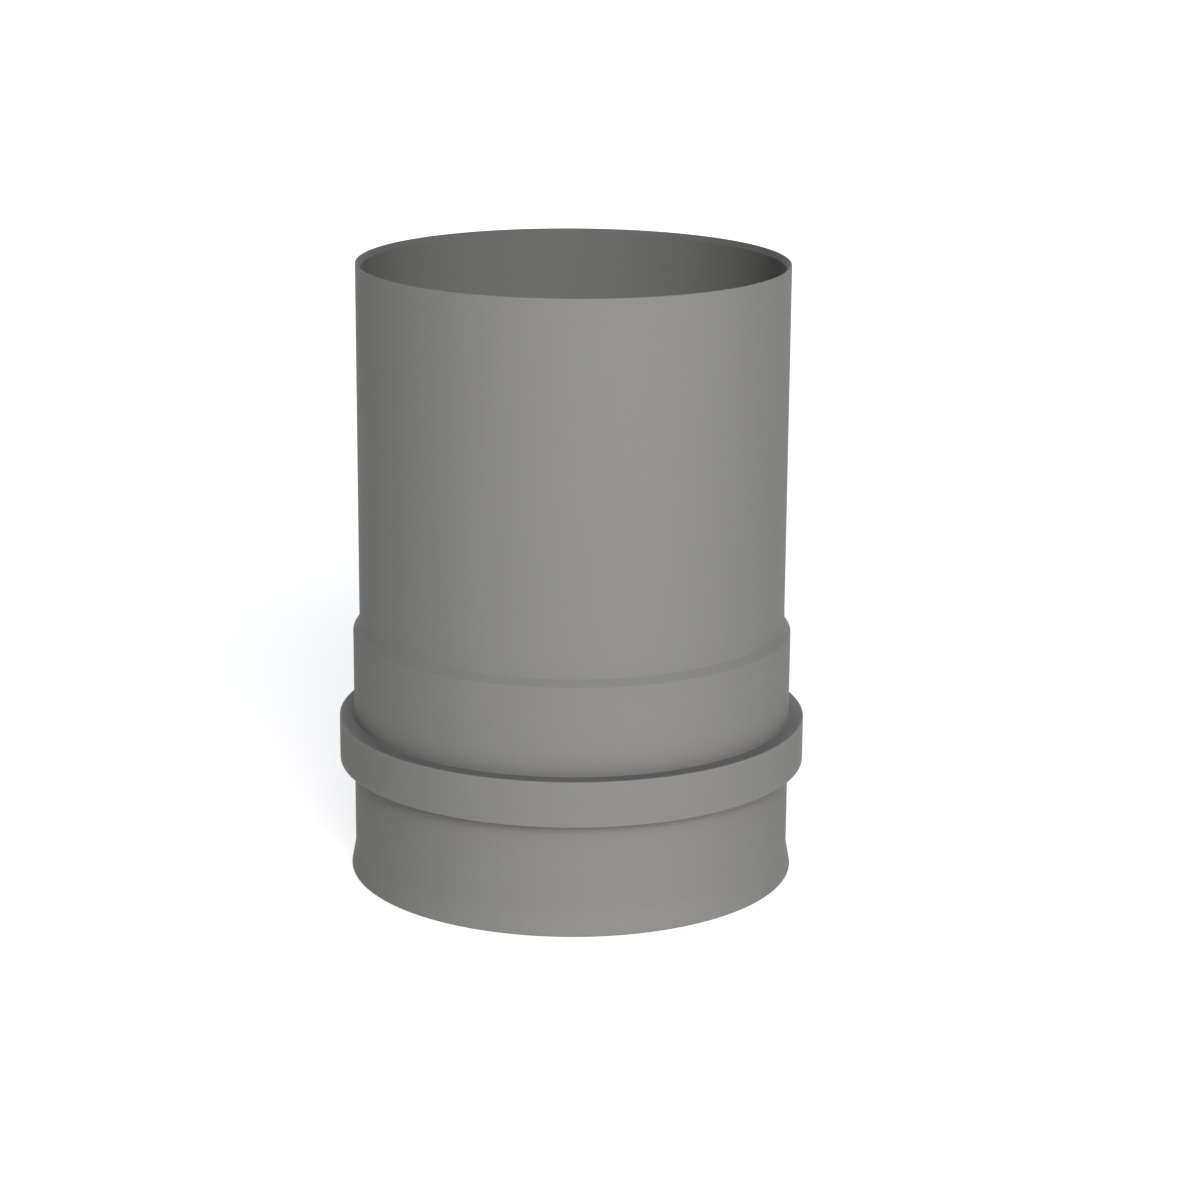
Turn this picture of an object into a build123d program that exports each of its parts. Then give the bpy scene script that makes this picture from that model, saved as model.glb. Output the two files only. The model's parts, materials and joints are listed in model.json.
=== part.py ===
from build123d import *
import os
from math import atan2, cos, degrees, radians, tan

# A push-fit socket for thin-walled duct pipe, standing on its mouth. The upper
# end is a plain spigot. The lower end is a socket with a square bead around it,
# and inside the bead lies the rubber ring that seals the pipe.
# The pipe's axis is Z, and the socket's end face lies on Z = 0.

# Driving dimensions: lengths in millimetres, angles in degrees

# Pipe system
pipe_diameter = 160.0  # outside of the pipe, and so of the spigot
wall = 1.8  # one thickness all over
socket_clearance = 0.6  # on the radius, between a pipe and the socket

# Heights of the fitting, one above the other from the mouth to the rim
mouth_height = 43.0  # end face to the underside of the bead
bead_height = 17.2
neck_height = 33.0  # bead to the foot of the shoulder
shoulder_height = 2.8  # the cone that stops the pipe
spigot_length = 135.8

# Forms of the socket
bead_depth = 5.5  # how far the bead stands out of the socket's wall
flare_height = 9.0  # the mouth opens over this height
flare_angle = 10.5  # of the flared wall to the axis

# Rim of the spigot: the bore is bevelled, which leaves a narrow land
rim_land = 0.7
bore_bevel_height = 2.0

# Bends and edges of the fitting
flare_bend = 12.0  # radius outside, where the flare leaves the straight wall
shoulder_bend = 1.2  # radius outside, at both ends of the shoulder
lip_bevel = 0.5  # both edges of the mouth's end face
bead_bevel = 0.4  # outer edges of the bead
chamber_bevel = 0.8  # where the chamber opens into the bore
rim_bevel = 0.2  # outer edge of the rim

# Seal ring
seal_play = 0.1  # on the radius, between the seal's back and the chamber
seal_headroom = 0.2  # between the seal and the chamber's upper flank
seal_back = 2.6  # thickness of the back, on the radius
seal_foot = 4.5  # thickness of the foot, along the axis
heel_setback = 0.8  # the seal's heel behind the socket's bore, clear of a pipe's end
heel_height = 1.2
lip_reach = 2.0  # how far the free lip stands inside the pipe's surface
lip_drop = 2.2  # end of the lip below the top of the seal
lip_root = 2.0  # thickness of the lip at the foot, on the radius
lip_tip = 1.3  # thickness of the lip at its end, on the radius
back_bevel = 0.8  # edges of the back, and of the foot below it
tip_bevel = 0.4  # edges of the lip's end

# Radii of the fitting
spigot_radius = pipe_diameter / 2
spigot_bore = spigot_radius - wall
socket_bore = spigot_radius + socket_clearance
socket_radius = socket_bore + wall
bead_radius = socket_radius + bead_depth
chamber_radius = bead_radius - wall
mouth_radius = socket_radius + flare_height * tan(radians(flare_angle))
mouth_bore = mouth_radius - wall / cos(radians(flare_angle))

# Heights of the fitting above the end face
bead_top = mouth_height + bead_height
chamber_floor = mouth_height + wall
chamber_roof = bead_top - wall
shoulder_foot = bead_top + neck_height
shoulder_top = shoulder_foot + shoulder_height
rim = shoulder_top + spigot_length
shoulder_angle = degrees(atan2(socket_radius - spigot_radius, shoulder_height))


def mitre(turn):
    """How far a bend's inner corner lies below the outer one, for an even wall."""
    return wall * tan(radians(turn) / 2)


def rings(part, *places):
    """The round edges of a turned part that lie nearest to each radius and height."""
    circles = part.edges().filter_by(GeomType.CIRCLE)
    return [
        circles.sort_by(
            lambda edge: abs(edge.radius - radius) + abs(edge.arc_center.Z - height)
        )[0]
        for radius, height in places
    ]


# The fitting: one wall, drawn up the outside from the mouth to the rim, and
# back down the inside. Each corner has a radius, a height and a bend.
body_corners = [
    (mouth_radius, 0, 0),
    (socket_radius, flare_height, flare_bend),
    (socket_radius, mouth_height, 0),
    (bead_radius, mouth_height, 0),
    (bead_radius, bead_top, 0),
    (socket_radius, bead_top, 0),
    (socket_radius, shoulder_foot, shoulder_bend),
    (spigot_radius, shoulder_top, shoulder_bend),
    (spigot_radius, rim, 0),
    (spigot_radius - rim_land, rim, 0),
    (spigot_bore, rim - bore_bevel_height, 0),
    (spigot_bore, shoulder_top - mitre(shoulder_angle), 0),
    (socket_bore, shoulder_foot - mitre(shoulder_angle), 0),
    (socket_bore, chamber_roof, 0),
    (chamber_radius, chamber_roof, 0),
    (chamber_radius, chamber_floor, 0),
    (socket_bore, chamber_floor, 0),
    (socket_bore, flare_height - mitre(flare_angle), flare_bend + wall),
    (mouth_bore, 0, 0),
]
with BuildPart() as socket_body:
    with BuildSketch(Plane.XZ):
        with BuildLine():
            FilletPolyline(
                [(radius, height) for radius, height, bend in body_corners],
                radius=[bend for radius, height, bend in body_corners],
                close=True,
            )
        make_face()
    revolve(axis=Axis.Z)
    chamfer(rings(socket_body, (mouth_radius, 0), (mouth_bore, 0)), lip_bevel)
    chamfer(
        rings(socket_body, (bead_radius, mouth_height), (bead_radius, bead_top)),
        bead_bevel,
    )
    chamfer(
        rings(socket_body, (socket_bore, chamber_floor), (socket_bore, chamber_roof)),
        chamber_bevel,
    )
    chamfer(rings(socket_body, (spigot_radius, rim)), rim_bevel)

# The seal: its back lies along the chamber's wall and its foot on the chamber's
# floor, and the lip slants inwards and up, the way that the pipe goes in
seal_radius = chamber_radius - seal_play
back_radius = seal_radius - seal_back
seal_top = chamber_roof - seal_headroom
slot_floor = chamber_floor + seal_foot
heel_radius = socket_bore + heel_setback
heel_top = chamber_floor + heel_height
tip_radius = spigot_radius - lip_reach
tip_height = seal_top - lip_drop
lip_slope = (heel_radius - tip_radius) / (tip_height - heel_top)
lip_face_at_slot = heel_radius - lip_slope * (slot_floor - heel_top)

with BuildPart() as seal_ring:
    with BuildSketch(Plane.XZ):
        with BuildLine():
            Polyline(
                (heel_radius, chamber_floor),
                (seal_radius, chamber_floor),
                (seal_radius, seal_top),
                (back_radius, seal_top),
                (back_radius, slot_floor),
                (lip_face_at_slot + lip_root, slot_floor),
                (tip_radius + lip_tip, tip_height),
                (tip_radius, tip_height),
                (heel_radius, heel_top),
                close=True,
            )
        make_face()
    revolve(axis=Axis.Z)
    chamfer(
        rings(
            seal_ring,
            (seal_radius, chamber_floor),
            (seal_radius, seal_top),
            (back_radius, seal_top),
        ),
        back_bevel,
    )
    chamfer(
        rings(seal_ring, (tip_radius + lip_tip, tip_height), (tip_radius, tip_height)),
        tip_bevel,
    )

os.makedirs("parts", exist_ok=True)
socket_body.part.label = "socket_body"
seal_ring.part.label = "seal_ring"
export_step(socket_body.part, "parts/socket_body.step")
export_step(seal_ring.part, "parts/seal_ring.step")
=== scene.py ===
# %% [markdown]
# # A push-fit pipe socket in grey PVC
#
# The fitting joins two lengths of thin-walled duct pipe. Its upper end, the spigot,
# has the pipe's own size. Its lower end is a socket that a pipe is pushed into, with
# a square bead around it that holds a rubber seal, and a mouth that flares a little.
#
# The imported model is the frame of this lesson: it settles every size and place, and
# nothing here moves or resizes it. What follows gives its pieces their finer edges
# and their finish, lights them and sets up the camera.

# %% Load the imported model
import json
from math import atan2, cos, radians, tan

import bpy
import numpy as np
from mathutils import Matrix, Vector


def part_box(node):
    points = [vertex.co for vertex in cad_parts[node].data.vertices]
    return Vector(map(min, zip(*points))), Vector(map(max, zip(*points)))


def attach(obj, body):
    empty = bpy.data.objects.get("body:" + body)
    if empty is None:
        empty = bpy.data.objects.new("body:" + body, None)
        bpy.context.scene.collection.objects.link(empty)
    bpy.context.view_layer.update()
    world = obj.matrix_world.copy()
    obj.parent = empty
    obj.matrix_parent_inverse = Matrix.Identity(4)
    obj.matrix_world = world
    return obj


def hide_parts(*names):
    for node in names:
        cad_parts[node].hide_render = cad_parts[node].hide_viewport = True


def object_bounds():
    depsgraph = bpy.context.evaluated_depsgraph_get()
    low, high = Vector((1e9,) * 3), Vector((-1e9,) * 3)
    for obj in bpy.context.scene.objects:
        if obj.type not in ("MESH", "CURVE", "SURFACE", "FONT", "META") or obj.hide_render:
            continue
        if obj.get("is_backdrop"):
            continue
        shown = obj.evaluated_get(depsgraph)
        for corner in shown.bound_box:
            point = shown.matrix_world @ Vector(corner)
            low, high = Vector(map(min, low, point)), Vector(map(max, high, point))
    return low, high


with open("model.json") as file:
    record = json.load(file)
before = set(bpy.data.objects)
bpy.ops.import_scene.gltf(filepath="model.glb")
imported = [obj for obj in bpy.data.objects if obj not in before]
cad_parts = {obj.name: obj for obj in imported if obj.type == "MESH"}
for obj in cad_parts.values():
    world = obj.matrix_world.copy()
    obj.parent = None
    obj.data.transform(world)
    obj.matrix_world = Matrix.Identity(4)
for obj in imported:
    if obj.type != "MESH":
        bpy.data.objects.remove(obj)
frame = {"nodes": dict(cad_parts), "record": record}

cad_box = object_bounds()
print("nodes", sorted(frame["nodes"]), "box", [tuple(corner) for corner in cad_box])

# %% [markdown]
# ## The sizes
#
# The frame gives the sizes that it holds: the record's mounts state the radii of
# the spigot and of the socket, and the boxes of the two nodes give the heights of
# the rim and of the seal's chamber and the radius of the bead. The few sizes that
# no box shows are named here, in millimetres. Blender works in metres, so a section
# is drawn in millimetres and scaled once, where it becomes a mesh.

# %% Sizes of the fitting, in millimetres
MM = 0.001

mounts = {mount["name"]: mount for mount in frame["record"]["mounts"]}
spigot_radius = mounts["spigot"]["dims"]["r_mm"]
socket_bore = mounts["socket_mouth"]["dims"]["r_mm"]
body_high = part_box("socket_body")[1] / MM
seal_low, seal_high = (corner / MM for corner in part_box("seal_ring"))

wall = 1.8
flare_height = 9.0
flare_angle = radians(10.5)
shoulder_height = 2.8
neck_height = 33.0
seal_headroom = 0.2
rim_land = 0.7
bore_bevel_height = 2.0

rim = body_high.z
bead_radius = body_high.x
chamber_floor = seal_low.z
chamber_roof = seal_high.z + seal_headroom
bead_underside = chamber_floor - wall
bead_top = chamber_roof + wall
shoulder_foot = bead_top + neck_height
shoulder_top = shoulder_foot + shoulder_height
socket_radius = socket_bore + wall
spigot_bore = spigot_radius - wall
chamber_radius = bead_radius - wall
mouth_radius = socket_radius + flare_height * tan(flare_angle)
mouth_bore = mouth_radius - wall / cos(flare_angle)
shoulder_angle = atan2(socket_radius - spigot_radius, shoulder_height)
print("rim at", round(rim, 2), "bead", round(bead_underside, 2), "to", round(bead_top, 2))

# %% [markdown]
# ## Rounding a section
#
# Every edge of a moulded or heat-formed fitting is rounded a little, and that thin
# curve is what catches the light. A Bevel modifier could add it, but it works on the
# finished mesh and knows nothing of the section. Here the section itself is rounded:
# each corner is replaced by an arc that touches both of its sides. The same
# arithmetic gives the exact normal at each point, so the shading is right from the
# straight wall through the curve, with no help from extra edge loops.


# %% Round the corners of a section
def rounded(corners, steps=6):
    """Points and outward normals of a closed section with round corners.

    A corner is (radius, height, rounding), and the corners run anticlockwise. With u
    and v the unit vectors from a corner to its neighbours and a half of the angle
    between them, the arc's centre lies on their bisector, rounding / sin(a) away,
    and the arc runs from rounding / tan(a) along one side to the same on the other.
    Its points are centre + rounding * slerp(first, last), where first and last are
    the unit vectors from the centre to the two ends of the arc.
    """
    table = np.array(corners, float)
    place, rounding = table[:, :2], table[:, 2:]
    u = np.roll(place, 1, axis=0) - place
    v = np.roll(place, -1, axis=0) - place
    u /= np.linalg.norm(u, axis=1, keepdims=True)
    v /= np.linalg.norm(v, axis=1, keepdims=True)
    half = np.arccos(np.clip((u * v).sum(axis=1, keepdims=True), -1, 1)) / 2
    bisector = (u + v) / np.linalg.norm(u + v, axis=1, keepdims=True)
    centre = place + bisector * rounding / np.sin(half)
    first = (place + u * rounding / np.tan(half) - centre) / rounding
    last = (place + v * rounding / np.tan(half) - centre) / rounding

    turn = np.pi - 2 * half[:, :, None]
    share = np.linspace(0, 1, steps + 1)[None, :, None]
    arm = np.sin((1 - share) * turn) * first[:, None] + np.sin(share * turn) * last[:, None]
    arm /= np.sin(turn)
    points = centre[:, None] + rounding[:, None] * arm
    convex = np.sign(u[:, 1] * v[:, 0] - u[:, 0] * v[:, 1])[:, None, None]
    return points.reshape(-1, 2), (arm * convex).reshape(-1, 2)


# %% [markdown]
# ## Turning a section into a mesh
#
# Blender's Spin operator or a Screw modifier would turn the section too, but they
# leave a seam to merge and guess the normals. The surface of revolution is a plain
# function of two parameters, the place on the section and the angle about the axis,
# so numpy works out the whole grid at once. The last column joins the first and the
# last row joins the first, which closes the shell without a seam or a pole.


# %% Turn a section about the axis
def turned(name, points, normals, columns=320):
    """A closed ring of a mesh: the section at each of many angles about the Z axis.

    A point (r, h) of the section at the angle t lies at (r cos t, r sin t, h), and its
    normal (a, b) becomes (a cos t, a sin t, b).
    """
    angle = np.linspace(0, 2 * np.pi, columns, endpoint=False)[:, None]

    def around(section):
        out, up = section[:, 0], section[:, 1]
        up = np.broadcast_to(up, (columns, up.size))
        grid = np.stack([out * np.cos(angle), out * np.sin(angle), up], axis=-1)
        return grid.reshape(-1, 3)

    rows = len(points)
    column, row = np.meshgrid(np.arange(columns), np.arange(rows), indexing="ij")
    next_column, next_row = (column + 1) % columns, (row + 1) % rows
    corners = [
        column * rows + row,
        next_column * rows + row,
        next_column * rows + next_row,
        column * rows + next_row,
    ]
    faces = np.stack(corners, axis=-1).reshape(-1, 4)

    mesh = bpy.data.meshes.new(name)
    mesh.from_pydata(around(points) * MM, [], faces)
    mesh.shade_smooth()
    mesh.normals_split_custom_set_from_vertices(around(normals))
    mesh.validate()
    piece = bpy.data.objects.new(name, mesh)
    bpy.context.scene.collection.objects.link(piece)
    print(name, rows, "rows by", columns, "columns,", 2 * len(faces), "triangles")
    return piece


# %% [markdown]
# ## The fitting
#
# The whole fitting is one wall of even thickness, so its section is the outer line
# drawn from the mouth up to the rim and the inner line back down. Where the wall
# bends, the inner corner lies a little lower than the outer one, by the wall times
# the tangent of half the bend, as in a mitred frame. A Solidify modifier could make
# the wall from its outer surface alone, but a wall that is thicker than an edge's
# rounding folds over itself inside that edge, and the rim's bore has a bevel of its
# own. The roundings follow the photograph: crisp on the bead, soft where the mouth
# starts to flare.


# %% The fitting's section: radius, height and rounding of each corner
def mitre(turn):
    """How far a bend's inner corner lies below the outer one, for an even wall."""
    return wall * tan(turn / 2)


fitting_corners = [
    (mouth_radius, 0, 0.6),
    (socket_radius, flare_height, 12.0),
    (socket_radius, bead_underside, 0.4),
    (bead_radius, bead_underside, 0.3),
    (bead_radius, bead_top, 0.5),
    (socket_radius, bead_top, 0.4),
    (socket_radius, shoulder_foot, 1.2),
    (spigot_radius, shoulder_top, 1.2),
    (spigot_radius, rim, 0.25),
    (spigot_radius - rim_land, rim, 0.2),
    (spigot_bore, rim - bore_bevel_height, 0.4),
    (spigot_bore, shoulder_top - mitre(shoulder_angle), 3.0),
    (socket_bore, shoulder_foot - mitre(shoulder_angle), 0.6),
    (socket_bore, chamber_roof, 1.0),
    (chamber_radius, chamber_roof, 0.4),
    (chamber_radius, chamber_floor, 0.4),
    (socket_bore, chamber_floor, 1.0),
    (socket_bore, flare_height - mitre(flare_angle), 13.8),
    (mouth_bore, 0, 0.5),
]
fitting = turned("fitting", *rounded(fitting_corners))
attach(fitting, "root")
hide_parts("socket_body")

# %% [markdown]
# ## The seal
#
# The ring in the bead is moulded rubber. Its back fills the chamber, and its lip
# slants inwards and up, so that a pipe pushed in from below bends it aside and the
# rubber then presses on the pipe. A thin torus would stand for a plain ring, but the
# slot between back and lip is what lets this one bend, so it is turned from its own
# section like the fitting. Its corners are rounder than the plastic's.

# %% The seal's section: radius, height and rounding of each corner
seal_back = 2.6
seal_foot = 4.5
heel_setback = 0.8
heel_height = 1.2
lip_reach = 2.0
lip_drop = 2.2
lip_root = 2.0
lip_tip = 1.3

seal_radius = seal_high.x
seal_top = seal_high.z
back_radius = seal_radius - seal_back
slot_floor = chamber_floor + seal_foot
heel_radius = socket_bore + heel_setback
heel_top = chamber_floor + heel_height
tip_radius = spigot_radius - lip_reach
tip_height = seal_top - lip_drop
lip_slope = (heel_radius - tip_radius) / (tip_height - heel_top)
lip_face_at_slot = heel_radius - lip_slope * (slot_floor - heel_top)

seal_corners = [
    (heel_radius, chamber_floor, 0.4),
    (seal_radius, chamber_floor, 0.8),
    (seal_radius, seal_top, 0.8),
    (back_radius, seal_top, 0.8),
    (back_radius, slot_floor, 0.5),
    (lip_face_at_slot + lip_root, slot_floor, 0.5),
    (tip_radius + lip_tip, tip_height, 0.5),
    (tip_radius, tip_height, 0.5),
    (heel_radius, heel_top, 0.6),
]
seal = turned("seal", *rounded(seal_corners))
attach(seal, "root")
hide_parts("seal_ring")

# %% [markdown]
# ## Shader arithmetic
#
# A material is a tree of nodes, and sums in it are Math nodes. Written out by hand
# they hide what is being worked out, so a small class wraps one output socket and
# lets Python's operators add the nodes.


# %% A value in a material
class Shade:
    """One output of a node. Arithmetic on it adds Math nodes."""

    def __init__(self, tree, socket=None):
        self.tree = tree
        self.socket = socket

    def node(self, kind, settings, sockets, output=0):
        """Add a node: its type, its settings, and values or links by socket name or number."""
        made = self.tree.nodes.new("ShaderNode" + kind)
        for key, value in settings.items():
            setattr(made, key, value)
        for key, value in sockets.items():
            if isinstance(value, Shade):
                self.tree.links.new(value.socket, made.inputs[key])
            else:
                made.inputs[key].default_value = value
        return Shade(self.tree, made.outputs[output])

    def math(self, operation, first, second):
        """Add a Math node with this operation."""
        return self.node("Math", {"operation": operation}, {0: first, 1: second})

    def __add__(self, other):
        return self.math("ADD", self, other)

    def __sub__(self, other):
        return self.math("SUBTRACT", self, other)

    def __rsub__(self, other):
        return self.math("SUBTRACT", other, self)

    def __mul__(self, other):
        return self.math("MULTIPLY", self, other)

    __radd__ = __add__
    __rmul__ = __mul__


# %% Start a material, and nodes that every material uses
def new_material(name):
    """A material with its tree and its Principled BSDF."""
    material = bpy.data.materials.new(name)
    material.use_nodes = True
    tree = material.node_tree
    return material, Shade(tree), tree.nodes["Principled BSDF"]


def feed(tree, value, socket):
    """Link a value to a socket of the material's shader."""
    tree.links.new(value.socket, socket)


def blend(shade, factor, first, second):
    """The colour first * (1 - factor) + second * factor.

    A Mix node has sockets for numbers, vectors and colours under the same names, so
    those for colours are taken by their places: 0, 6 and 7 in, and 2 out.
    """
    return shade.node("Mix", {"data_type": "RGBA"}, {0: factor, 6: first, 7: second}, 2)


def noise(shade, place, scale, detail):
    """Smooth noise from 0 to 1, with about so many waves in a metre."""
    return shade.node("TexNoise", {}, {"Vector": place, "Scale": scale, "Detail": detail})


# %% [markdown]
# ## Where things happen on a turned piece
#
# Shade is painted on the bead's top, the shoulder, the cut ends and the corners
# beside the bead, hands polish the bead's edges, and the ends are cut on a lathe. All
# of these run right round the fitting, so they need no mask in an image: two numbers,
# the distance from the axis and the height, say where a point is on the section, and
# the distance to a corner of the section follows from them.


# %% Find a place on the section
def on_section(shade):
    """The point that is shaded, its distance from the axis and its height."""
    place = shade.node("TexCoord", {}, {}, "Object")
    flat = shade.node("VectorMath", {"operation": "MULTIPLY"}, {0: place, 1: (1, 1, 0)})
    out = shade.node("VectorMath", {"operation": "LENGTH"}, {0: flat}, "Value")
    return place, out, shade.node("SeparateXYZ", {}, {0: place}, "Z")


def over(shade, value, limit):
    """1 where a radius or height is over a limit in millimetres, else 0."""
    return shade.math("GREATER_THAN", value, limit * MM)


def under(shade, value, limit):
    """1 where a radius or height is under a limit in millimetres, else 0."""
    return shade.math("LESS_THAN", value, limit * MM)


def near_ring(shade, out, up, radius, height, reach):
    """exp(-distance / reach) around a corner of the section, and 0 inside the tube."""
    point = shade.node("CombineXYZ", {}, {"X": out, "Y": up})
    corner = (radius * MM, height * MM, 0)
    distance = shade.node("VectorMath", {"operation": "DISTANCE"}, {0: point, 1: corner}, "Value")
    outside = over(shade, out, radius - wall / 2)
    return shade.math("EXPONENT", distance * (-1 / (reach * MM)), 0) * outside


# %% [markdown]
# ## Grey PVC
#
# The plastic is coloured through, so wear shows no other colour. What gives it away
# as extruded and formed pipe is faint: lines along the axis where it was drawn
# through its die, a slow cloudiness in its sheen, and a fine grain. The cut ends
# have the close rings of the lathe instead of the drawn lines. Shade is painted into
# the colour: darker on the cut ends, on the bead's upper face and a trace on the
# shoulder, and softly darker in the corners above and below the bead. Pictures of
# plastic could show all this, but they would have to be unwrapped onto the tube,
# while noise in the object's own coordinates has its right size by itself. The
# reflections are weaker than bare PVC's, because the edges in the photograph stay
# dark where those would turn pale.

# %% Colour, painted shade and wear of the plastic, lengths in millimetres
PVC_COLOUR = (0.304, 0.299, 0.287, 1)
PVC_SHADE = (0.296, 0.291, 0.279, 1)
# painted shade: where the masks below say, the colour is darkened towards this one
PAINTED_SHADE_COLOUR = (0.098, 0.098, 0.1, 1)

# corners darkened with painted shade: radius, height and strength
PAINTED_CORNER_SHADE = [
    (socket_radius, bead_top, 0.45),
    (socket_radius, bead_underside, 0.05),
    (spigot_radius, shoulder_top, 0.04),
]
CORNER_SHADE_REACH = 3.2
CORNER_END = socket_radius + 0.3

# steps darkened with painted shade: what is outside a radius and above a height, and strength
PAINTED_STEP_SHADE = [
    (CORNER_END, bead_top - 0.2, 0.47),
    (spigot_radius + 0.1, shoulder_foot, 0.07),
]

# edges that hands polish
POLISHED_RINGS = [(bead_radius, bead_top), (bead_radius, bead_underside)]
POLISH_REACH = 1.2

# the rim's cut starts this far inside the spigot's surface, and the mouth's ends this
# far above its face
CUT_DEPTH = 0.2

# strength of the painted shade on the cuts, and how uneven all the painted shade is
CUT_SHADE = 0.25
PATCHINESS = 0.4


# %% Where shade is painted on the plastic, and where it is polished and cut
def painted_shade_and_wear(shade, out, up, cloud):
    """Three masks: painted shade, polish and cut ends.

    The painted shade is the sum of the corners' shade, the steps' shade and a share of
    the cut ends, times patches that run from 1 - PATCHINESS / 2 to 1 + PATCHINESS / 2.
    """
    # painted shade in the corners beside the bead and below the shoulder
    corner_shade = sum(
        near_ring(shade, out, up, radius, height, CORNER_SHADE_REACH) * strength
        for radius, height, strength in PAINTED_CORNER_SHADE
    ) * under(shade, out, CORNER_END)
    # painted shade on the faces that look up: the bead's top and the shoulder
    step_shade = sum(
        over(shade, out, radius) * over(shade, up, height) * strength
        for radius, height, strength in PAINTED_STEP_SHADE
    )
    polish = sum(
        near_ring(shade, out, up, radius, height, POLISH_REACH)
        for radius, height in POLISHED_RINGS
    )
    in_bore = under(shade, out, spigot_radius - CUT_DEPTH)
    bore_bevel = over(shade, up, rim - bore_bevel_height) * in_bore
    cut = shade.math("MAXIMUM", bore_bevel, under(shade, up, CUT_DEPTH))
    patches = cloud * PATCHINESS + (1 - PATCHINESS / 2)
    return (corner_shade + step_shade + cut * CUT_SHADE) * patches, polish, cut


# %% Surface of the plastic
# waves in a metre; the draw lines are stretched along the axis
LINE_WAVES, LINE_STRETCH = 500.0, 0.015
CLOUD_WAVES = 14.0
GRAIN_WAVES = 1800.0
LATHE_WAVES = 3500.0

# roughness of the plain plastic, and what each mark, the painted shade among them, adds to it or
# takes from it
ROUGHNESS = 0.6
CLOUD_ROUGHNESS, LINE_ROUGHNESS, PAINTED_SHADE_ROUGHNESS = 0.12, 0.06, 0.15
POLISH_SMOOTHNESS = 0.12

# depth of the draw lines in metres, and the grain's and the rings' as shares of it
LINE_DEPTH = 0.1 * MM
GRAIN_DEPTH, LATHE_DEPTH = 0.3, 0.5

CLOUD_IN_COLOUR = 0.6
REFLECTION = 0.2


# %% Material of the fitting
def grey_pvc():
    """Grey PVC: the colour from cloud, lines and painted shade, the bump from lines, grain and
    rings.
    """
    material, shade, surface = new_material("drawn_pvc")
    place, out, up = on_section(shade)
    drawn = shade.node("Mapping", {}, {"Vector": place, "Scale": (1, 1, LINE_STRETCH)})
    lines = noise(shade, drawn, LINE_WAVES, 3.0)
    cloud = noise(shade, place, CLOUD_WAVES, 3.0)
    grain = noise(shade, place, GRAIN_WAVES, 2.0)
    along = {"W": out + up, "Scale": LATHE_WAVES}
    lathe = shade.node("TexNoise", {"noise_dimensions": "1D"}, along)
    painted_shade, polish, cut = painted_shade_and_wear(shade, out, up, cloud)

    mottle = cloud * CLOUD_IN_COLOUR + lines * (1 - CLOUD_IN_COLOUR)
    unshaded = blend(shade, mottle, PVC_SHADE, PVC_COLOUR)
    # painted shade darkens the colour in the corners, on the steps and on the cut ends
    colour = blend(shade, painted_shade, unshaded, PAINTED_SHADE_COLOUR)
    roughness = cloud * CLOUD_ROUGHNESS + lines * LINE_ROUGHNESS + painted_shade * PAINTED_SHADE_ROUGHNESS
    roughness = roughness - polish * POLISH_SMOOTHNESS + ROUGHNESS
    height = (lines + grain * GRAIN_DEPTH) * (1 - cut) + lathe * cut * LATHE_DEPTH
    bump = shade.node("Bump", {}, {"Height": height, "Strength": 1.0, "Distance": LINE_DEPTH})
    surface.inputs["Specular IOR Level"].default_value = REFLECTION
    feed(shade.tree, colour, surface.inputs["Base Color"])
    feed(shade.tree, roughness, surface.inputs["Roughness"])
    feed(shade.tree, bump, surface.inputs["Normal"])
    return material


fitting.data.materials.append(grey_pvc())
print("drawn_pvc", len(fitting.data.materials[0].node_tree.nodes), "nodes")

# %% [markdown]
# ## Seal rubber
#
# Black rubber that has lain in store has a faint grey bloom on it, and the mould
# leaves it with an even, fine grain. One noise could serve for both, but the bloom
# comes in patches of centimetres and the grain is finer than a millimetre, so each
# has its own.

# %% Material of the seal
RUBBER_COLOUR = (0.018, 0.018, 0.019, 1)
RUBBER_BLOOM = (0.04, 0.04, 0.041, 1)
BLOOM_WAVES = 60.0
MOULD_WAVES = 3000.0
MOULD_DEPTH = 0.05 * MM
RUBBER_ROUGHNESS, BLOOM_ROUGHNESS = 0.55, 0.2


def seal_rubber():
    """Black rubber: the bloom pales and roughens it in patches, and the mould grains it."""
    material, shade, surface = new_material("moulded_rubber")
    place = shade.node("TexCoord", {}, {}, "Object")
    bloom = noise(shade, place, BLOOM_WAVES, 4.0)
    grain = noise(shade, place, MOULD_WAVES, 1.0)
    colour = blend(shade, bloom, RUBBER_COLOUR, RUBBER_BLOOM)
    roughness = RUBBER_ROUGHNESS + bloom * BLOOM_ROUGHNESS
    bump = shade.node("Bump", {}, {"Height": grain, "Strength": 1.0, "Distance": MOULD_DEPTH})
    feed(shade.tree, colour, surface.inputs["Base Color"])
    feed(shade.tree, roughness, surface.inputs["Roughness"])
    feed(shade.tree, bump, surface.inputs["Normal"])
    return material


seal.data.materials.append(seal_rubber())
print("moulded_rubber", len(seal.data.materials[0].node_tree.nodes), "nodes")

# %% [markdown]
# ## Floor and background
#
# The photograph shows the fitting on plain white. A floor that looked white by
# lamplight alone would need far more light than the fitting can take, so the floor
# and the world glow, and only for the rays that show a background: those from the
# camera, and those that come off a glossy surface or through a clear one. Near the
# fitting the floor glows less, so that its soft shadow stays, and inside the fitting
# it glows least, because no white backdrop lights the bottom of a tube.

# %% Values that the background uses, lengths in metres
FLOOR_HALF = 6.0
FLOOR_COLOUR = (0.82, 0.82, 0.82, 1)
FLOOR_GLOW = 0.73
GLOW_INSIDE = 0.25
GLOW_FROM, GLOW_FULL = 0.3, 1.5
WORLD_LIGHT = (0.008, 0.009, 0.012, 1)
BLACK, WHITE = (0, 0, 0, 1), (1, 1, 1, 1)


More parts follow.
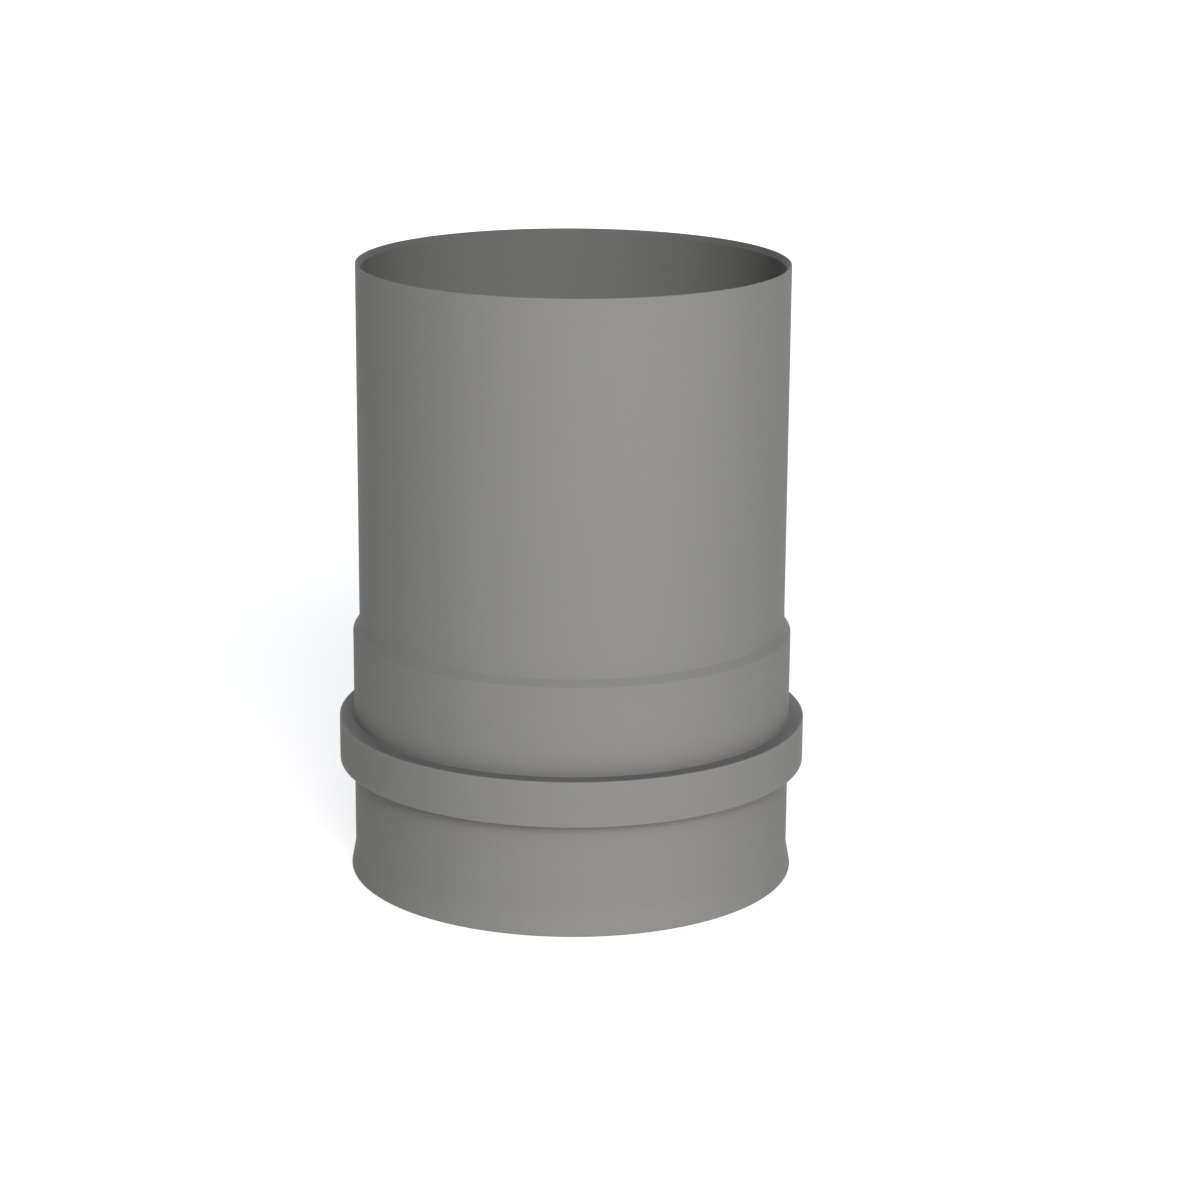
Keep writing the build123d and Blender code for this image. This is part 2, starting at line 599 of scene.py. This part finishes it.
def background_rays(shade):
    """1 for rays that show a background, else 0: the largest of three Light Path outputs."""
    names = ("Is Camera Ray", "Is Glossy Ray", "Is Transmission Ray")
    camera, glossy, transmission = (shade.node("LightPath", {}, {}, name) for name in names)
    return shade.math("MAXIMUM", shade.math("MAXIMUM", camera, glossy), transmission)


# %% The floor
def floor_white():
    """White that glows where it is seen, less near the fitting and least inside it."""
    material, shade, surface = new_material("floor_white")
    surface.inputs["Base Color"].default_value = FLOOR_COLOUR
    surface.inputs["Roughness"].default_value = 1.0
    surface.inputs["Specular IOR Level"].default_value = 0.0
    surface.inputs["Emission Strength"].default_value = 1.0
    place = shade.node("TexCoord", {}, {}, "Object")
    distance = shade.node("VectorMath", {"operation": "LENGTH"}, {0: place}, "Value")
    reach = {"From Min": GLOW_FROM, "From Max": GLOW_FULL}
    level = {"To Min": FLOOR_GLOW, "To Max": 1.0}
    glow = shade.node("MapRange", {}, {"Value": distance, **reach, **level})
    inside = under(shade, distance, mouth_bore)
    shown = background_rays(shade) * glow * (1 - inside * (1 - GLOW_INSIDE))
    feed(shade.tree, blend(shade, shown, BLACK, WHITE), surface.inputs["Emission Color"])
    return material


floor_mesh = bpy.data.meshes.new("floor")
floor_corners = np.array([(-1, -1, 0), (1, -1, 0), (1, 1, 0), (-1, 1, 0)]) * FLOOR_HALF
floor_mesh.from_pydata(floor_corners, [], [(0, 1, 2, 3)])
floor_mesh.materials.append(floor_white())
floor = bpy.data.objects.new("floor", floor_mesh)
bpy.context.scene.collection.objects.link(floor)
floor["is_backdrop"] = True

# %% [markdown]
# ## The world
#
# Behind the floor's edge lies the world. A picture of a studio could light the scene
# from there, but then the lamps would no longer set the shading alone. So the world
# is white for the rays that show a background, and nearly dark, a little blue, for
# the light that it sheds on the fitting.

# %% The world
world = bpy.data.worlds.new("studio")
world.use_nodes = True
bpy.context.scene.world = world
sky = Shade(world.node_tree)
background = world.node_tree.nodes["Background"]
sky_light = blend(sky, background_rays(sky), WORLD_LIGHT, WHITE)
feed(sky.tree, sky_light, background.inputs["Color"])

# %% [markdown]
# ## Lights
#
# The photograph is lit softly from the front, a little from the right: the wall is
# brightest just right of its middle, and falls off more on the left. Faces that look
# up are darker and a little bluer, as under a sky. Two long strips stand low and are
# no taller than the fitting, so they light its wall and never shine over the rim,
# which would leave a bright edge inside. The key lamp and a bluer one above it reach
# the shoulder, the bead's top and the inside. All stand some metres away, so that
# the light is as strong at the mouth as at the rim. A third strip and two lamps
# behind keep the back and the inside from going dark, far enough round that they
# hardly catch the front's edges, and a weak lamp overhead reaches down the tube. One
# large lamp could be as soft, but the wall and the faces that look up would share its
# one colour, and neither could be made brighter alone.


# %% Soft lamps
def lamp(name, azimuth, elevation, distance, width, height, power, colour):
    """A rectangular lamp that faces the fitting's middle.

    Azimuth turns it from the front, -Y, towards +X, and elevation raises it, both in
    degrees and about the fitting's middle. Lengths are in metres, and power in watts.
    """
    data = bpy.data.lights.new(name, "AREA")
    data.shape = "RECTANGLE"
    data.size = width
    data.size_y = height
    data.energy = power
    data.color = colour
    lamp_object = bpy.data.objects.new(name, data)
    middle = Matrix.Translation((0, 0, rim * MM / 2))
    turn = Matrix.Rotation(radians(azimuth), 4, "Z")
    turn = turn @ Matrix.Rotation(radians(90 - elevation), 4, "X")
    lamp_object.matrix_world = middle @ turn @ Matrix.Translation((0, 0, distance))
    bpy.context.scene.collection.objects.link(lamp_object)


# name, azimuth, elevation, distance, width, height, power and colour
LAMPS = [
    ("strip_right", 50, 0, 3.0, 1.2, 0.2, 16.8, (1.0, 0.985, 1.0)),
    ("strip_left", -20, 0, 3.0, 1.2, 0.2, 12.8, (1.0, 0.985, 0.93)),
    ("key", 10, 28, 8.0, 2.8, 2.8, 295, (1.0, 0.985, 0.94)),
    ("high", 10, 50, 8.0, 4.5, 4.5, 100, (0.7, 0.78, 1.0)),
    ("top", 0, 90, 4.0, 1.5, 1.5, 3, (0.85, 0.92, 1.0)),
    ("strip_back", 180, 0, 3.0, 1.2, 0.2, 27, (1.0, 0.98, 0.95)),
    ("back_right", 165, 10, 4.0, 1.2, 1.2, 20, (0.88, 0.93, 1.0)),
    ("back_left", -165, 10, 4.0, 1.2, 1.2, 24, (0.88, 0.93, 1.0)),
]
for row in LAMPS:
    lamp(*row)
print(len(LAMPS), "lamps")

# %% [markdown]
# ## Camera
#
# The camera's place was worked out by fitting the picture of the fitting's circles
# to the photograph's outlines: it stands on the -Y side, looks down by about 15
# degrees and is rolled by less than half a degree.

# %% Camera
IMAGE_HEIGHT = 1203
FOCAL_PIXELS = 3217.1
SENSOR = 36.0
CAMERA_PLACE = (0, -1.1701, 0.4217)
CAMERA_YAW, CAMERA_PITCH, CAMERA_ROLL = 0.515, 15.254, 0.399

camera_data = bpy.data.cameras.new("camera")
camera_data.sensor_width = SENSOR
camera_data.lens = FOCAL_PIXELS * SENSOR / IMAGE_HEIGHT
camera = bpy.data.objects.new("camera", camera_data)
aim = Matrix.Rotation(radians(-CAMERA_YAW), 4, "Z")
aim = aim @ Matrix.Rotation(radians(90 - CAMERA_PITCH), 4, "X")
roll = Matrix.Rotation(radians(CAMERA_ROLL), 4, "Z")
camera.matrix_world = Matrix.Translation(CAMERA_PLACE) @ aim @ roll
bpy.context.scene.collection.objects.link(camera)
bpy.context.scene.camera = camera
bpy.context.scene.view_settings.view_transform = "Standard"
print("lens", round(camera_data.lens, 2), "mm")

# %% [markdown]
# ## The last check
#
# The finer surfaces must have the size of the imported model. A ruler in the viewport
# would show it for one view, while the boxes around the imported model and around what
# is shown now say it for all sides, so the two boxes are compared and their largest
# difference is printed.

# %% Compare the sizes
sizes = {"cad": cad_box, "visual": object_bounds()}
difference = np.array(sizes["cad"]) - np.array(sizes["visual"])
print("boxes differ by", round(np.abs(difference).max() / MM, 3), "mm")
